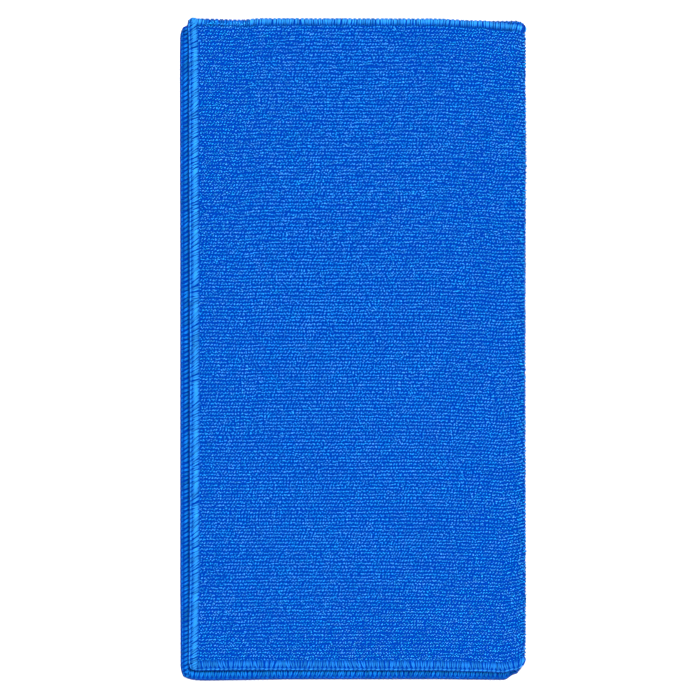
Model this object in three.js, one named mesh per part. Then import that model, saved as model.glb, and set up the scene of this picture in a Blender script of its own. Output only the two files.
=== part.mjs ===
// A square microfibre cloth with loops on both faces and an overlocked hem on its four edges.
// It is folded once down its middle and lies flat: the fold is on the right, and the upper
// layer's free edge stops a little short of the lower layer's on the left and at the front.
// Millimetres, +X right, +Y to the back, +Z up, origin in the middle of the underside.

import * as THREE from 'three';
import { mergeVertices } from 'three/addons/utils/BufferGeometryUtils.js';

// Thickness of the cloth, and the air between its two layers
const CLOTH_THICKNESS = 2.4;
const LAYER_GAP = 0.7;

// Lengths along the flat cloth, across the fold and up the fold
const UPPER_LENGTH = 199;
const LOWER_LENGTH = 204.4;
const CLOTH_HEIGHT = 393.2;

// The bend itself, measured halfway through the cloth, and the cloth beside it that it shapes
const FOLD_LENGTH = Math.PI * (LAYER_GAP + CLOTH_THICKNESS) / 2;
const FOLD_APPROACH = 13;
const FOLD_SWELL = 0.7;
const FOLD_SWELL_REACH = 14;
const FLAT_WIDTH = UPPER_LENGTH + FOLD_LENGTH + LOWER_LENGTH;

// The rim: how far its middle bulges, and how far its lower corner stands off the table
const RIM_BULGE = 0.35;
const RIM_TOE = 0.3;

// The four corners: how far along the hem each one is rounded, and how far its tip is drawn in
const CORNER_REACH = 9;
const CORNER_PULL = 1.7;

// The upper layer's back hem turns down behind the lower layer: the width of cloth that turns,
// and the radius of the turn halfway through the cloth
const TURN_WIDTH = 4.7;
const TURN_RADIUS = 1.5;

// Thickness of the cloth over its hem, by distance from the edge: the stitched bead is full,
// and the needle line behind it draws the cloth in
const HEM_PROFILE = [
  { fromEdge: 0.0, thickness: 1.1 },
  { fromEdge: 0.8, thickness: 2.0 },
  { fromEdge: 2.4, thickness: 2.5 },
  { fromEdge: 4.4, thickness: 2.3 },
  { fromEdge: 6.0, thickness: 1.8 },
  { fromEdge: 8.0, thickness: CLOTH_THICKNESS },
];
const HEM_REACH = 8;

// Steps between the hems: across each layer, beside and round the fold, and up the cloth
const LAYER_STEPS = 15;
const APPROACH_STEPS = 3;
const FOLD_STEPS = 8;
const HEIGHT_STEPS = 36;

// Where the long edges lie: the two free edges on the left and the fold on the right,
// by share of the height from the front
const LONG_EDGES = [
  { share: 0.00, upper: -99.2, lower: -103.4, fold: 103.4 },
  { share: 0.05, upper: -98.8, lower: -103.4, fold: 103.5 },
  { share: 0.15, upper: -98.2, lower: -103.6, fold: 103.6 },
  { share: 0.45, upper: -98.2, lower: -103.6, fold: 103.4 },
  { share: 0.65, upper: -98.4, lower: -103.6, fold: 103.5 },
  { share: 0.80, upper: -98.7, lower: -103.7, fold: 103.8 },
  { share: 0.94, upper: -98.7, lower: -103.8, fold: 103.5 },
  { share: 1.00, upper: -99.6, lower: -103.6, fold: 103.3 },
];

// Where the front and back edges lie, by distance across the flat cloth from the upper
// layer's free edge, and how many degrees the back hem turns down; the fold is at about 200
const CROSS_EDGES = [
  { across: 0, front: -193.9, back: 198.3, turn: 84 },
  { across: 12, front: -193.3, back: 197.8, turn: 90 },
  { across: 32, front: -193.2, back: 197.2, turn: 90 },
  { across: 45, front: -193.2, back: 198.2, turn: 88 },
  { across: 105, front: -193.3, back: 198.0, turn: 90 },
  { across: 145, front: -193.4, back: 198.0, turn: 88 },
  { across: 175, front: -194.0, back: 197.1, turn: 80 },
  { across: 188, front: -194.6, back: 197.1, turn: 46 },
  { across: 196, front: -193.2, back: 196.9, turn: 22 },
  { across: 201.5, front: -190.5, back: 195.6, turn: 6 },
  { across: 207, front: -195.4, back: 194.6, turn: 0 },
  { across: 214, front: -198.9, back: 194.0, turn: 0 },
  { across: 260, front: -198.5, back: 194.4, turn: 0 },
  { across: 335, front: -198.6, back: 194.6, turn: 0 },
  { across: 395, front: -199.3, back: 194.6, turn: 0 },
  { across: 408, front: -198.4, back: 194.5, turn: 0 },
];

// Soft rises of the upper layer off the lower one: centre, height and half-width each way
const RISES = [
  { x: -95, y: -60, height: 0.5, halfX: 14, halfY: 90 },
  { x: 62, y: -192, height: 0.6, halfX: 42, halfY: 13 },
  { x: -38, y: 118, height: 0.5, halfX: 48, halfY: 40 },
  { x: 34, y: 24, height: 0.4, halfX: 42, halfY: 58 },
  { x: -46, y: -84, height: 0.5, halfX: 40, halfY: 46 },
  { x: 48, y: -128, height: 0.35, halfX: 36, halfY: 34 },
  { x: 26, y: 166, height: 0.35, halfX: 46, halfY: 20 },
];

// A smooth step from 0 to 1
function ease(share) {
  const held = THREE.MathUtils.clamp(share, 0, 1);
  return held * held * (3 - 2 * held);
}

// A column of a table, eased from row to row; `key` names the column that orders the rows
function readTable(rows, key, column, at) {
  let next = rows.findIndex((row) => row[key] > at);
  next = next < 0 ? rows.length - 1 : Math.max(next, 1);
  const before = rows[next - 1];
  const after = rows[next];
  const share = ease((at - before[key]) / (after[key] - before[key]));
  return THREE.MathUtils.lerp(before[column], after[column], share);
}

// Distances of the grid lines from the first one, for spans of { length, steps }
function gridLines(spans) {
  const lines = [0];
  for (const { length, steps } of spans) {
    const start = lines[lines.length - 1];
    for (let step = 1; step <= steps; step += 1) {
      lines.push(start + length * step / steps);
    }
  }
  return lines;
}

// Spans of one hem, from the edge inwards, with a grid line on each row of its profile
function hemSpans() {
  return HEM_PROFILE.slice(1).map((row, index) => ({
    length: row.fromEdge - HEM_PROFILE[index].fromEdge,
    steps: 1,
  }));
}

function linesAcross() {
  return gridLines([
    ...hemSpans(),
    { length: UPPER_LENGTH - HEM_REACH - FOLD_APPROACH, steps: LAYER_STEPS },
    { length: FOLD_APPROACH, steps: APPROACH_STEPS },
    { length: FOLD_LENGTH, steps: FOLD_STEPS },
    { length: FOLD_APPROACH, steps: APPROACH_STEPS },
    { length: LOWER_LENGTH - HEM_REACH - FOLD_APPROACH, steps: LAYER_STEPS },
    ...hemSpans().reverse(),
  ]);
}

function linesUp() {
  return gridLines([
    ...hemSpans(),
    { length: CLOTH_HEIGHT - 2 * HEM_REACH, steps: HEIGHT_STEPS },
    ...hemSpans().reverse(),
  ]);
}

// How far the upper layer stands above its lowest level at a point of the table
function upperRise(x, y, foldX) {
  let rise = FOLD_SWELL * Math.exp(-(((foldX - x) / FOLD_SWELL_REACH) ** 2));
  for (const { x: midX, y: midY, height, halfX, halfY } of RISES) {
    rise += height * Math.exp(-(((x - midX) / halfX) ** 2) - ((y - midY) / halfY) ** 2);
  }
  return rise;
}

// Where the back hem runs after it has turned down by up to `angle`: `past` is the width of
// cloth from the start of the turn. Returns how far back and how far down halfway through the
// cloth, and the outward direction there.
function backTurn(past, angle) {
  const turned = Math.min(past / TURN_RADIUS, angle);
  const straight = past - turned * TURN_RADIUS;
  return {
    back: TURN_RADIUS * Math.sin(turned) + straight * Math.cos(turned),
    down: TURN_RADIUS * (1 - Math.cos(turned)) + straight * Math.sin(turned),
    outwardY: Math.sin(turned),
    outwardZ: Math.cos(turned),
  };
}

// A place on the flat cloth, drawn in where a corner is rounded and pushed out where the rim
// bulges, with its distance from the nearest edge as far as the hem reaches
function shapedPlace(across, up, depth) {
  const fromSide = Math.min(across, FLAT_WIDTH - across);
  const fromEnd = Math.min(up, CLOTH_HEIGHT - up);
  const corner = Math.max(0, 1 - fromSide / CORNER_REACH) * Math.max(0, 1 - fromEnd / CORNER_REACH);
  const pull = CORNER_PULL * corner ** 2;
  const bulge = depth > 0 && depth < 1 ? RIM_BULGE : 0;
  const inX = pull - (fromSide === 0 ? bulge : 0);
  const inY = pull - (fromEnd === 0 ? bulge : 0);
  return {
    across: across + Math.sign(FLAT_WIDTH / 2 - across) * inX,
    up: up + Math.sign(CLOTH_HEIGHT / 2 - up) * inY,
    fromEdge: Math.min(fromSide, fromEnd, HEM_REACH),
  };
}

// How far right a point lies: along the upper layer to the fold, `reach` out round the bend,
// and back along the lower layer
function layAcross(across, share, foldCentre, bend, reach) {
  if (across < UPPER_LENGTH) {
    const upperEdge = readTable(LONG_EDGES, 'share', 'upper', share);
    return THREE.MathUtils.lerp(upperEdge, foldCentre, across / UPPER_LENGTH);
  }
  if (across > UPPER_LENGTH + FOLD_LENGTH) {
    const lowerEdge = readTable(LONG_EDGES, 'share', 'lower', share);
    return THREE.MathUtils.lerp(lowerEdge, foldCentre, (FLAT_WIDTH - across) / LOWER_LENGTH);
  }
  return foldCentre + Math.sin(bend) * reach;
}

// How far back a point lies, and how the back hem has turned there, for a point that is
// `offset` outwards from halfway through the cloth
function layUp(across, up, offset) {
  const front = readTable(CROSS_EDGES, 'across', 'front', across);
  const back = readTable(CROSS_EDGES, 'across', 'back', across);
  const angle = THREE.MathUtils.degToRad(readTable(CROSS_EDGES, 'across', 'turn', across));
  const whole = backTurn(TURN_WIDTH, angle);
  const turnStart = back - whole.back - whole.outwardY * CLOTH_THICKNESS / 2;
  const flatHeight = CLOTH_HEIGHT - TURN_WIDTH;
  const turned = backTurn(Math.max(0, up - flatHeight), angle);
  const flat = THREE.MathUtils.lerp(front, turnStart, Math.min(up / flatHeight, 1));
  return { y: flat + turned.back + turned.outwardY * offset, turned };
}

// A point of the folded cloth. `across` and `up` are its place on the flat cloth, and `depth`
// runs from 0 on the face that is folded inside to 1 on the outer face.
function foldedPoint(across, up, depth) {
  const place = shapedPlace(across, up, depth);
  const thickness = readTable(HEM_PROFILE, 'fromEdge', 'thickness', place.fromEdge);
  const share = place.up / CLOTH_HEIGHT;
  const foldX = readTable(LONG_EDGES, 'share', 'fold', share);
  const foldCentre = foldX - CLOTH_THICKNESS - LAYER_GAP / 2;
  const bend = Math.PI * THREE.MathUtils.clamp((place.across - UPPER_LENGTH) / FOLD_LENGTH, 0, 1);
  const x = layAcross(place.across, share, foldCentre, bend, LAYER_GAP / 2 + depth * thickness);
  const offset = (depth - 1 / 2) * thickness;
  const { y, turned } = layUp(place.across, place.up, offset);

  const toe = place.fromEdge === 0 ? RIM_TOE : 0;
  const lowerZ = THREE.MathUtils.lerp(thickness, toe, depth);
  const middle = THREE.MathUtils.lerp(thickness, CLOTH_THICKNESS, turned.outwardY) / 2;
  const upperFloor = CLOTH_THICKNESS + LAYER_GAP + upperRise(x, y, foldX);
  const upperZ = upperFloor + middle - turned.down + turned.outwardZ * offset;
  return new THREE.Vector3(x, y, THREE.MathUtils.lerp(lowerZ, upperZ, (1 + Math.cos(bend)) / 2));
}

// The cloth as a box of grid cells, each corner of which is carried to its place in the fold
function foldedCloth() {
  const across = linesAcross();
  const up = linesUp();
  const columns = across.length - 1;
  const rows = up.length - 1;
  const layers = 2;
  const box = new THREE.BoxGeometry(columns, rows, layers, columns, rows, layers);
  box.translate(columns / 2, rows / 2, layers / 2);
  box.deleteAttribute('normal');
  box.deleteAttribute('uv');
  const cloth = mergeVertices(box);
  const corners = cloth.getAttribute('position');
  const corner = new THREE.Vector3();
  for (let index = 0; index < corners.count; index += 1) {
    corner.fromBufferAttribute(corners, index).round();
    const point = foldedPoint(across[corner.x], up[corner.y], corner.z / layers);
    corners.setXYZ(index, point.x, point.y, point.z);
  }
  cloth.computeBoundingBox();
  const middle = cloth.boundingBox.getCenter(new THREE.Vector3());
  cloth.translate(-middle.x, -middle.y, 0);
  cloth.computeVertexNormals();
  return cloth;
}

const microfibre = new THREE.MeshStandardMaterial({
  color: new THREE.Color(0x0e64d3),
  roughness: 0.95,
  metalness: 0,
});

const foldedMicrofibreCloth = new THREE.Group();
const cloth = new THREE.Mesh(foldedCloth(), microfibre);
cloth.name = 'cloth';
foldedMicrofibreCloth.add(cloth);

export default foldedMicrofibreCloth;
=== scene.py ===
import math

import bpy
import numpy as np
from bpy.props import FloatProperty, FloatVectorProperty, PointerProperty
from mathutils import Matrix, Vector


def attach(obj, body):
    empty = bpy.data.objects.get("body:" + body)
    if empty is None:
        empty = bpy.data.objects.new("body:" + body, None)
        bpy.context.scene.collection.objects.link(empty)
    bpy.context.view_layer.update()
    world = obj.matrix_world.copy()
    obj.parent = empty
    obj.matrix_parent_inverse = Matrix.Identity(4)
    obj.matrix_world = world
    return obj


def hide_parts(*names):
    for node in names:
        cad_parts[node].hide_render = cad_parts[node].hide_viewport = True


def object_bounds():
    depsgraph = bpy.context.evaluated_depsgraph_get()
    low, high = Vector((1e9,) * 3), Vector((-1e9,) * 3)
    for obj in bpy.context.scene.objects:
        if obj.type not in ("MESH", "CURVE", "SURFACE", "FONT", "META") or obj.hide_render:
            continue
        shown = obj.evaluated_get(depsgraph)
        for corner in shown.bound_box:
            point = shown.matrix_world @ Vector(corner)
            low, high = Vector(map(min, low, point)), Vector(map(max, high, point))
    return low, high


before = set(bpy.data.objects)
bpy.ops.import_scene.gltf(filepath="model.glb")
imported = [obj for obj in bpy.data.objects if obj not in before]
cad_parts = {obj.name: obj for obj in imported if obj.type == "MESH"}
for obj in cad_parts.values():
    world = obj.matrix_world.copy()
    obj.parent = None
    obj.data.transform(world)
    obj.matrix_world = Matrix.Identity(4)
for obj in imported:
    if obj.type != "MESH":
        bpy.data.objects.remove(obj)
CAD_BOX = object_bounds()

bl_info = {
    "name": "Folded Microfibre Cloth",
    "version": (1, 0, 0),
    "blender": (4, 5, 0),
    "location": "3D View > Sidebar > Cloth",
    "description": "Builds a looped microfibre cloth with an overlocked hem, folded in half",
    "category": "Add Mesh",
}

# Everything is laid out on the flat cloth in millimetres and then folded. `across` runs from the
# upper layer's free edge, over the fold, to the lower layer's free edge; `up` runs from the front
# edge to the back edge; `out` is the distance outwards from halfway through the cloth.
MM = 0.001

CLOTH_THICKNESS = 2.4
LAYER_GAP = 0.7
UPPER_LENGTH = 199.0
LOWER_LENGTH = 204.4
CLOTH_HEIGHT = 393.2
FOLD_LENGTH = math.pi * (LAYER_GAP + CLOTH_THICKNESS) / 2
FOLD_MIDDLE = UPPER_LENGTH + FOLD_LENGTH / 2
FLAT_WIDTH = UPPER_LENGTH + FOLD_LENGTH + LOWER_LENGTH
FOLD_SWELL = 0.7
FOLD_SWELL_REACH = 14.0
CORNER_REACH = 9.0
CORNER_PULL = 1.7
TURN_WIDTH = 4.7
TURN_RADIUS = 1.5
CENTRE_Y = -0.734           # middle of the tables' outline, moved to the frame's origin
TABLE_GAP = 0.02            # least height of anything over the table

# Thickness of the cloth over its hem, and half the thickness of the ground under loops and thread
HEM_PROFILE = {
    "from_edge": (0.0, 0.8, 2.2, 4.2, 6.2, 8.0),
    "thickness": (1.1, 1.9, 2.3, 2.6, 1.9, 2.4),
    "ground":    (0.2, 0.55, 0.75, 0.85, 0.3, 0.42),
}
HEM_REACH = HEM_PROFILE["from_edge"][-1]

# Where the long edges lie, by share of the height from the front
LONG_EDGES = {
    "share": (0.00, 0.05, 0.15, 0.45, 0.65, 0.80, 0.94, 1.00),
    "upper": (-99.2, -98.8, -98.2, -98.2, -98.4, -98.7, -98.7, -99.6),
    "lower": (-103.4, -103.4, -103.6, -103.6, -103.6, -103.7, -103.8, -103.6),
    "fold":  (103.4, 103.5, 103.6, 103.4, 103.5, 103.8, 103.5, 103.3),
}

# Where the front and back edges lie, and how many degrees the back hem turns down, by distance
# across the flat cloth
CROSS_EDGES = {
    "across": (0, 12, 32, 45, 105, 145, 175, 188, 196, 201.5, 207, 214, 260, 335, 395, 408),
    "front": (-193.9, -193.3, -193.2, -193.2, -193.3, -193.4, -194.0, -194.6, -193.2, -190.5,
              -195.4, -198.9, -198.5, -198.6, -199.3, -198.4),
    "back": (198.3, 197.8, 197.2, 198.2, 198.0, 198.0, 197.1, 197.1, 196.9, 195.6,
             194.6, 194.0, 194.4, 194.6, 194.6, 194.5),
    "turn": (84, 90, 90, 88, 90, 88, 80, 46, 22, 6, 0, 0, 0, 0, 0, 0),
}

# Soft rises of the upper layer off the lower one: centre, height and half-width each way
RISES = {
    "x":      (-95, 62, -38, 34, -46, 48, 26),
    "y":      (-60, -192, 118, 24, -84, -128, 166),
    "height": (0.5, 0.6, 0.5, 0.4, 0.5, 0.35, 0.35),
    "half_x": (14, 42, 48, 42, 40, 36, 46),
    "half_y": (90, 13, 40, 58, 46, 34, 20),
}

# Steps of the ground's grid: over each span of the hem's profile, along each layer, beside and
# round the fold, and up the cloth
HEM_STEPS = (2, 1, 2, 2, 2)
LAYER_STEPS = 36
APPROACH_STEPS = 8
FOLD_STEPS = 10
HEIGHT_STEPS = 72

# Starting numbers of the random draws, one to a purpose
PILE_SEED, UPPER_WAVES, UNDER_WAVES = 11, 5, 25
THREAD_SEED, SWAY_WAVES = 31, 60

# The pile
NEEDLE_LINE = 6.2           # distance of the seam's inner row of holes from the edge
BARE_HEM = NEEDLE_LINE + 0.3    # width of the hem that no loop covers
FIRST_ROW = NEEDLE_LINE + 0.6   # where the rows start
CAUGHT_FROM, CAUGHT_TO = 10, 37     # the stretch where loops lie over the back hem,
CAUGHT_EDGE = 3.1           # how near to its edge they come,
CAUGHT_LIFT = 0.5           # how far they are lifted,
CAUGHT_SHADE = 0.8          # and how much painted shade darkens the thread under them
STAGGER = 0.38              # how far a row's two lines are shifted past each other, in loops
STRAY_LENGTHS = (7.0, 9.0)  # lengths of the slow waves that lead loops astray, each way
DRIFT_LENGTH = 22.0         # length of those that bunch up the rows, and how much less they
DRIFT_STRETCH = 0.15        # change along a row
UNRULY_JITTER = 2.4         # how much further out of place an unruly loop stands
ROW_HOLD = 0.5              # how far a loop strays across its row, against along it
CRINKLE_LENGTH = 4.5        # length of the short waves that crowd and part the loops, how much
CRINKLE_STRETCH = 0.6       # less they change along a row, and how far they shift loops, in mm,
CRINKLES = {                # by share of the height from the front
    "share": (0.0, 0.1, 0.25, 0.5, 0.7, 1.0),
    "shift": (0.22, 0.16, 0.08, 0.1, 0.26, 0.24),
}
LOOP_PIECES = 3             # the upper layer's loops are parted into this many meshes
UNDER_SHARE = 0.75          # share of the loops that are laid under the lower layer
LOOP_SIDES = 3              # points round each ring of a loop
UPPER_RINGS, UNDER_RINGS = 2, 1     # rings of a loop on top and underneath
RING_INSET = 0.7            # how far a loop's outer rings keep from its ends, in rings
LOOP_SPREAD = {             # how much loops differ in size: spread, least and most, as shares
    "length": (0.14, 0.65, 1.4),
    "girth":  (0.13, 0.7, 1.35),
    "height": (0.16, 0.5, 1.4),
}
LOOP_LEAN = 0.2             # how far loops lean off their line, against their height
LOOP_BLUNTNESS = 0.3        # power of the sine that its girth follows; less is fuller
LOOP_END = -0.1             # how high over the ground its ends lie
YARN_FLATTENING = 0.6       # height of a loop's yarn against its width
CHANNEL_SHADE = 0.2         # painted shade on the loops' flanks beside the next row, taken off their tip share
FOLD_CROWDING = 0.9         # how many more loops show round the fold, where the cloth stretches
FOLD_CROWDING_REACH = 3.5   # over this length each way
FOLD_FILL = 0.75            # how much fuller the ground stands round the fold,
FOLD_STAND = 0.5            # how much taller the loops stand there,
FOLD_DIMMING = 0.45         # and how much painted shade dims their crowns' painted highlight
PRESS_SOFTNESS = 0.2        # how softly loops and thread flatten on the table

# The seam, in each hem's own terms: `q` along its edge, `d` in from it and `o` out of the cloth.
# The side seams are on the two free edges, opposite the fold, and the end seams run across them
UPPER_FREE, BACK, LOWER_FREE, FRONT = range(4)
SIDE_EDGES = (UPPER_FREE, LOWER_FREE)
END_EDGES = (BACK, FRONT)
OUTSIDE, INSIDE = 1, -1
MIRRORED = (-1, -1, 1, 1)   # how each hem's terms are handed on the outer face
SIDE_SEAM_INSET = 0.4       # gap between a side seam's ends and the cloth's front and back
END_SEAM_INSET = 3.2        # where the front and back seams start, under the side seams
CROSSING_LIFT = 0.5         # how far the side seams ride up over the other seams,
CROSSING_START = NEEDLE_LINE + 1    # from how far from their ends,
CROSSING_RAMP = 2.0         # and over what length

# Each seam by edge, in the order above, outside and then inside: where the painted highlight on
# its bead is lightest, how wide and how light that crest is, how far its threads lean from hole to
# knot and how far they spread, how far in from the edge its painted shade reaches and how dark it
# is, how far it is lifted, and how far in its chain of knots lies and how light the painted
# highlight on it is
SEAMS = {
    "crest_at":   ((4.3, 4.0, 4.1, 3.6), (3.7, 3.7, 3.6, 4.9)),
    "half_width": ((1.9, 1.1, 1.7, 1.7), (1.1, 1.1, 1.1, 3.0)),
    "light":      ((1.1, 1.18, 1.0, 0.55), (0.9, 0.9, 0.9, 1.2)),
    "lean":       ((-1.1, 0.2, -1.1, 0.1), (-1.0, 0.2, -1.0, 0.3)),
    "spread":     ((1.0, 0.95, 1.0, 1.0), (0.4, 1.0, 0.4, 0.9)),
    "dark_rim":   ((0.7, 2.3, 0.7, 0.7), (0.7, 0.7, 0.7, 0.7)),
    "rim_shade":  ((0.9, 1.5, 0.9, 0.0), (0.9, 0.9, 0.9, 0.5)),
    "lift":       ((0.0, 0.3, 0.0, 0.0), (0.0, 0.0, 0.0, 0.0)),
    "purl_at":    ((1.1, 0.9, 0.95, 0.95), (0.9, 0.9, 1.2, 1.1)),
    "purl_light": ((1.4, 0.75, 1.2, 1.3), (0.1, 0.1, 1.0, 0.6)),
}

# A thread from its needle hole, at 0, to its knot, at 1, and over the rim: its distance from the
# edge, how far it keeps from the middle of its stitch, in stitches, how far it rises off the
# ground, and its girth against its full width
STRAND_COURSE = {
    "share":     (0.0, 0.2, 0.6, 0.82, 1.0, 1.2),
    "from_edge": (6.1, 5.1, 3.3, 2.2, 1.2, 0.05),
    "spread":    (0.34, 0.25, 0.25, 0.14, 0.06, 0.1),
    "rise":      (-0.1, 0.24, 0.32, 0.18, 0.05, 0.0),
    "girth":     (0.7, 1.0, 1.0, 0.68, 0.5, 0.6),
}

# Where along that course a thread has its rings, and how many points round each: finer where
# the seam shows than where it is hidden
SEEN_SHARES, SEEN_SIDES = (0.0, 0.2, 0.42, 0.64, 0.84, 1.0, 1.2), 5
HIDDEN_SHARES, HIDDEN_SIDES = (0.0, 0.4, 1.0, 1.2), 4
THREAD_SWAY = 0.35          # how far slow waves tip the threads over, in stitches
THREAD_SWAY_LENGTH = 15.0   # length of those waves
YARN_TWIST = 0.35           # how far a yarn's filaments shift across it for each step along it
POINT_LENGTH = 0.1          # length of the point that closes a thread's end

# How far each thread strays: tipped over and set along the edge, in stitches, its needle hole in
# mm, and its rise and girth as shares; and how far the painted shade of its rim does, from and to
STRAND_STRAY = {"tip": 0.08, "place": 0.04, "hole": 0.12, "rise": 0.12, "girth": 0.07}
RIM_SHADE_SPREAD = (0.6, 1.4)

# The chain of knots along the rim
LINK_OVERLAP = 0.08         # how far each link reaches past its stitch at each end, in stitches
LINK_STEPS, LINK_SIDES = 4, 5   # rings of a link, and points round each
LINK_ENDS = 0.1             # where on the half wave of its arch a link starts and stops
LINK_TAPER = 0.45           # thickness of a link at its ends against its middle
LINK_GAP_SHADE = 0.5            # how dark the painted shade in the gaps between the links is
LINK_STRAY = {"place": 0.06, "rise": 0.08, "girth": 0.07}   # the first in mm, then shares
PURL_SLANT = 0.3            # how far each link slants in from the edge
PURL_BASE = 0.3             # how far the chain stands off the middle of the cloth,
PURL_RISE = 0.42            # and how far each link arches up from there

# The needle's own thread
DASH_INSET = 0.05           # how far inside the needle line it lies
DASH_STRAY = 0.06           # how far each dash is off its line
DASH_RISE = 0.16            # how far each dash arches up
DASH_SINK = 0.04            # how far its ends sink in
DASH_STEPS, DASH_SIDES = 3, 4   # rings of a dash, and points round each

STREAKS = (0.86, 1.3)       # how dark and how light a yarn's filaments are

# The stage, in metres, and the camera's sensor in millimetres
FLOOR_HALF = 3.0
FLOOR_DROP = 0.0002
SENSOR_WIDTH = 36.0
FAR_CLIP = 20.0


# ---------------------------------------------------------------- the fold

def read_table(table, column, at):
    """A column of a table at `at`, eased from row to row; the table's first column orders it."""
    knots = np.array(next(iter(table.values())), float)
    values = np.array(table[column], float)
    at = np.asarray(at, float)
    row = np.clip(np.searchsorted(knots, at, side="right") - 1, 0, len(knots) - 2)
    share = np.clip((at - knots[row]) / (knots[row + 1] - knots[row]), 0, 1)
    share = share * share * (3 - 2 * share)
    return values[row] + (values[row + 1] - values[row]) * share


def edge_distances(across, up):
    """Distances of a place on the flat cloth from its nearest side and its nearest end."""
    side = np.minimum(across, FLAT_WIDTH - across)
    end = np.minimum(up, CLOTH_HEIGHT - up)
    return np.maximum(side, 0), np.maximum(end, 0)


def from_edge(across, up):
    """Distance of a place on the flat cloth from its nearest edge, never below zero."""
    return np.minimum(*edge_distances(across, up))


def hem_profile(column, across, up):
    """A column of the hem's profile at places on the flat cloth."""
    return read_table(HEM_PROFILE, column, np.minimum(from_edge(across, up), HEM_REACH))


def round_corners(across, up):
    """Draws a place in towards the middle near the four corners, most at the very corner: by
    the square of (1 - distance from the side / reach) * (1 - distance from the end / reach)."""
    side, end = edge_distances(across, up)
    corner = np.maximum(0, 1 - side / CORNER_REACH) * np.maximum(0, 1 - end / CORNER_REACH)
    pull = CORNER_PULL * corner ** 2
    return (across + np.sign(FLAT_WIDTH / 2 - across) * pull,
            up + np.sign(CLOTH_HEIGHT / 2 - up) * pull)


def back_turn(past, angle):
    """The back hem after `past` of its turn: an arc of TURN_RADIUS up to `angle`, then straight.
    Returns how far back, how far down, and the outward direction's two parts."""
    turned = np.minimum(past / TURN_RADIUS, angle)
    straight = past - turned * TURN_RADIUS
    back = TURN_RADIUS * np.sin(turned) + straight * np.cos(turned)
    down = TURN_RADIUS * (1 - np.cos(turned)) + straight * np.sin(turned)
    return back, down, np.sin(turned), np.cos(turned)


def upper_rise(x, y, fold_x):
    """Height of the upper layer over its lowest level: the swell at the fold and soft mounds,
    each its height times exp(-(distance / half-width)^2)."""
    rise = FOLD_SWELL * np.exp(-((fold_x - x) / FOLD_SWELL_REACH) ** 2)
    for mid_x, mid_y, height, half_x, half_y in zip(*RISES.values()):
        rise = rise + height * np.exp(-((x - mid_x) / half_x) ** 2 - ((y - mid_y) / half_y) ** 2)
    return rise


def fold(across, up, out):
    """Folded place, in metres, of points given on the flat cloth: the upper layer level, a half
    circle round the fold, the lower layer level below it, and the upper back hem turned down.
    What would come under the table stays just over it."""
    across, up, out = np.broadcast_arrays(*(np.asarray(v, float) for v in (across, up, out)))
    thickness = hem_profile("thickness", across, up)
    across, up = round_corners(across, up)
    share = up / CLOTH_HEIGHT
    fold_x = read_table(LONG_EDGES, "fold", share)
    centre = fold_x - CLOTH_THICKNESS - LAYER_GAP / 2
    bend = np.pi * np.clip((across - UPPER_LENGTH) / FOLD_LENGTH, 0, 1)
    upper_x = read_table(LONG_EDGES, "upper", share)
    lower_x = read_table(LONG_EDGES, "lower", share)
    round_bend = centre + np.sin(bend) * (LAYER_GAP / 2 + thickness / 2 + out)
    along_upper = upper_x + (centre - upper_x) * across / UPPER_LENGTH
    along_lower = lower_x + (centre - lower_x) * (FLAT_WIDTH - across) / LOWER_LENGTH
    x = np.where(across < UPPER_LENGTH, along_upper, round_bend)
    x = np.where(across > UPPER_LENGTH + FOLD_LENGTH, along_lower, x)

    angle = np.radians(read_table(CROSS_EDGES, "turn", across))
    whole_back, _, whole_y, _ = back_turn(np.full_like(angle, TURN_WIDTH), angle)
    turn_start = read_table(CROSS_EDGES, "back", across) - whole_back
    turn_start = turn_start - whole_y * CLOTH_THICKNESS / 2
    front = read_table(CROSS_EDGES, "front", across)
    flat_height = CLOTH_HEIGHT - TURN_WIDTH
    turned_back, down, out_y, out_z = back_turn(np.maximum(0, up - flat_height), angle)
    y = front + (turn_start - front) * np.minimum(up / flat_height, 1) + turned_back + out_y * out

    lower_z = thickness / 2 - out
    middle = (thickness + (CLOTH_THICKNESS - thickness) * out_y) / 2
    upper_z = CLOTH_THICKNESS + LAYER_GAP + upper_rise(x, y, fold_x) + middle - down + out_z * out
    upper_share = (1 + np.cos(bend)) / 2
    z = lower_z + (upper_z - lower_z) * upper_share
    return np.stack((x, y - CENTRE_Y, np.maximum(z, TABLE_GAP)), axis=-1) * MM


# ---------------------------------------------------------------- meshes

def add_mesh(name, points, quads, triangles=(), attributes=None):
    """A smooth mesh object from arrays of points, quads and triangles, with float attributes."""
    points = np.asarray(points, np.float32).reshape(-1, 3)
    quads = np.asarray(quads, np.int32).reshape(-1, 4)
    triangles = np.asarray(triangles, np.int32).reshape(-1, 3)
    corners = np.concatenate((quads.ravel(), triangles.ravel()))
    starts = np.concatenate((np.arange(len(quads)) * 4,
                             len(quads) * 4 + np.arange(len(triangles)) * 3)).astype(np.int32)
    mesh = bpy.data.meshes.new(name)
    mesh.vertices.add(len(points))
    mesh.vertices.foreach_set("co", points.ravel())
    mesh.loops.add(len(corners))
    mesh.loops.foreach_set("vertex_index", corners)
    mesh.polygons.add(len(starts))
    mesh.polygons.foreach_set("loop_start", starts)
    mesh.polygons.foreach_set("use_smooth", np.ones(len(starts), bool))
    for key, values in (attributes or {}).items():
        layer = mesh.attributes.new(key, "FLOAT", "POINT")
        layer.data.foreach_set("value", np.asarray(values, np.float32).ravel())
    mesh.update(calc_edges=True)
    mesh.validate()
    piece = bpy.data.objects.new(name, mesh)
    bpy.context.scene.collection.objects.link(piece)
    return piece


def grid_lines(spans):
    """Positions from 0 on, for spans of (length, steps)."""
    lines = [0.0]
    for length, steps in spans:
        lines.extend(lines[-1] + length * np.arange(1, steps + 1) / steps)
    return np.array(lines)


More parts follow.
